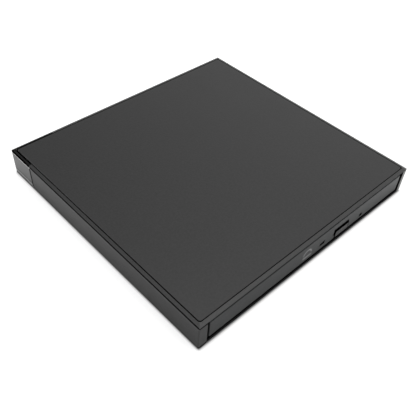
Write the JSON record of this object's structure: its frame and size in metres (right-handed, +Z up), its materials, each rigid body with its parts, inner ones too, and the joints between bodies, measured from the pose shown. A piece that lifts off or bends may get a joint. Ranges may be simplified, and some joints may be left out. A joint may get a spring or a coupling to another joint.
{
  "type": "external dvd drive",
  "caption": "Slim dark grey external disc drive with a drawer that slides out on rails, an eject button and a hinged corner cover.",
  "frame": {"origin": "centre of the footprint, on the surface that the feet stand on", "axes": "+X to the right seen from the front, where the drawer comes out, +Y to the rear, +Z up"},
  "size_m": [0.1376, 0.133, 0.0146],
  "materials": {
    "case_shell": "fine grained dark grey",
    "cover_shell": "fine grained dark grey",
    "inlay_panel": "fine grained dark grey",
    "corner_plastic": "fine grained dark grey",
    "trim_black": "black",
    "bezel_plastic": "satin dark grey",
    "button_plastic": "satin dark grey",
    "foot_rubber": "dull",
    "screw_black": "black oxide",
    "screw_steel": "zinc plated",
    "pin_steel": "ground",
    "pan_steel": "galvanised sheet",
    "plate_steel": "galvanised sheet",
    "guide_nylon": "natural nylon",
    "rail_steel": "bright sheet",
    "board_green": "solder mask",
    "chip_black": "moulded epoxy",
    "socket_black": "moulded",
    "socket_ivory": "moulded",
    "socket_shell": "nickel plated",
    "ribbon_white": "flat flexible cable",
    "tray_black": "fine grained black",
    "window_clear": "smoky light pipe",
    "lamp_epoxy": "clear epoxy",
    "switch_tip": "moulded",
    "shield_steel": "thin sheet",
    "mechanism_steel": "stamped sheet",
    "damper_rubber": "soft",
    "mechanism_paint": "matt black",
    "rod_steel": "ground and polished",
    "motor_steel": "plated",
    "hub_black": "satin",
    "ring_rubber": "dull",
    "claw_plastic": "satin",
    "sled_metal": "die cast",
    "follower_ivory": "acetal",
    "holder_black": "moulded",
    "lens_glass": "coated",
    "lever_ivory": "acetal",
    "solenoid_steel": "plated",
    "spring_steel": "music wire"
  },
  "bodies": {
    "case": {"lower_case": "case_shell", "top_cover": "cover_shell", "top_panel": "inlay_panel", "corner_trim": "trim_black", "corner_hinge_pin": "pin_steel", "rubber_feet": "foot_rubber", "case_screws": "screw_black", "drive_mount_screws": "screw_steel", "drive_base_pan": "pan_steel", "drive_top_plate": "plate_steel", "guide_left": "guide_nylon", "guide_right": "guide_nylon", "lock_pin": "pin_steel", "bridge_board": "board_green", "bridge_chips": "chip_black", "bridge_socket": "socket_black", "usb_socket": "socket_shell", "usb_tongue": "socket_black", "connector_board": "board_green", "drive_connector": "socket_black", "ribbon_socket_fixed": "socket_ivory", "ribbon_cable": "ribbon_white"},
    "rails": {"rail_left": "rail_steel", "rail_right": "rail_steel"},
    "tray": {"tray_frame": "tray_black", "front_bezel": "bezel_plastic", "lamp_window": "window_clear", "status_lamp": "lamp_epoxy", "front_board": "board_green", "eject_switch": "chip_black", "main_board": "board_green", "board_chips": "chip_black", "board_screws": "screw_steel", "ribbon_socket_tray": "socket_ivory", "tray_shield": "shield_steel", "shield_screws": "screw_steel", "mechanism_plate": "mechanism_steel", "dampers": "damper_rubber", "mechanism_screws": "screw_steel", "mechanism_cover": "mechanism_paint", "guide_rods": "rod_steel", "spindle_motor": "motor_steel", "stepper_motor": "motor_steel", "lock_solenoid": "solenoid_steel", "eject_spring": "spring_steel"},
    "button": {"eject_button": "button_plastic", "switch_plunger": "switch_tip"},
    "turntable": {"turntable_hub": "hub_black", "turntable_ring": "ring_rubber", "hub_claws": "claw_plastic"},
    "sled": {"pickup_sled": "sled_metal", "screw_follower": "follower_ivory"},
    "lens": {"lens_holder": "holder_black", "objective_lens": "lens_glass"},
    "feed_screw": {"lead_screw": "rod_steel"},
    "lock": {"lock_lever": "lever_ivory"},
    "corner_door": {"corner_cover": "corner_plastic"},
    "plunger": {"eject_plunger": "lever_ivory"}
  },
  "joints": [
    {"name": "tray_slide", "type": "slide", "parent": "case", "child": "tray", "axis": [0, -1, 0], "range_m": [0, 0.126], "deforming": ["ribbon_cable"]},
    {"name": "rail_slide", "type": "slide", "parent": "case", "child": "rails", "axis": [0, -1, 0], "range_m": [0, 0.063]},
    {"name": "eject_button", "type": "slide", "parent": "tray", "child": "button", "axis": [0, 1, 0], "range_m": [0, 0.0008], "stiffness_N_per_m": 600},
    {"name": "spindle", "type": "hinge", "parent": "tray", "child": "turntable", "pos_m": [0.00077, -0.0025, 0.0091], "axis": [0, 0, 1], "continuous": true},
    {"name": "sled_slide", "type": "slide", "parent": "tray", "child": "sled", "axis": [0.7071, 0.7071, 0], "range_m": [0, 0.033]},
    {"name": "feed_screw_turn", "type": "hinge", "parent": "tray", "child": "feed_screw", "pos_m": [0.03047, 0.00104, 0.00585], "axis": [0.7071, 0.7071, 0], "range_deg": [0, 3960]},
    {"name": "lens_focus", "type": "slide", "parent": "sled", "child": "lens", "axis": [0, 0, 1], "range_m": [-0.0005, 0.0005], "stiffness_N_per_m": 60},
    {"name": "lock_lever_turn", "type": "hinge", "parent": "tray", "child": "lock", "pos_m": [0.05777, -0.044, 0.00395], "axis": [0, 0, -1], "range_deg": [0, 8], "stiffness_Nm_per_rad": 0.01},
    {"name": "corner_door_hinge", "type": "hinge", "parent": "case", "child": "corner_door", "pos_m": [-0.0436, 0.0644, 0.0022], "axis": [0, 0, -1], "range_deg": [0, 95]},
    {"name": "plunger_slide", "type": "slide", "parent": "tray", "child": "plunger", "axis": [0, 1, 0], "range_m": [0, 0.01], "deforming": ["eject_spring"]}
  ],
  "couplings": [
    {"joint": "rail_slide", "follows": "tray_slide", "ratio": 0.5},
    {"joint": "feed_screw_turn", "follows": "sled_slide", "rad_per_m": 2094.4},
    {"joint": "plunger_slide", "follows": "tray_slide", "ratio": 0.079365}
  ]
}
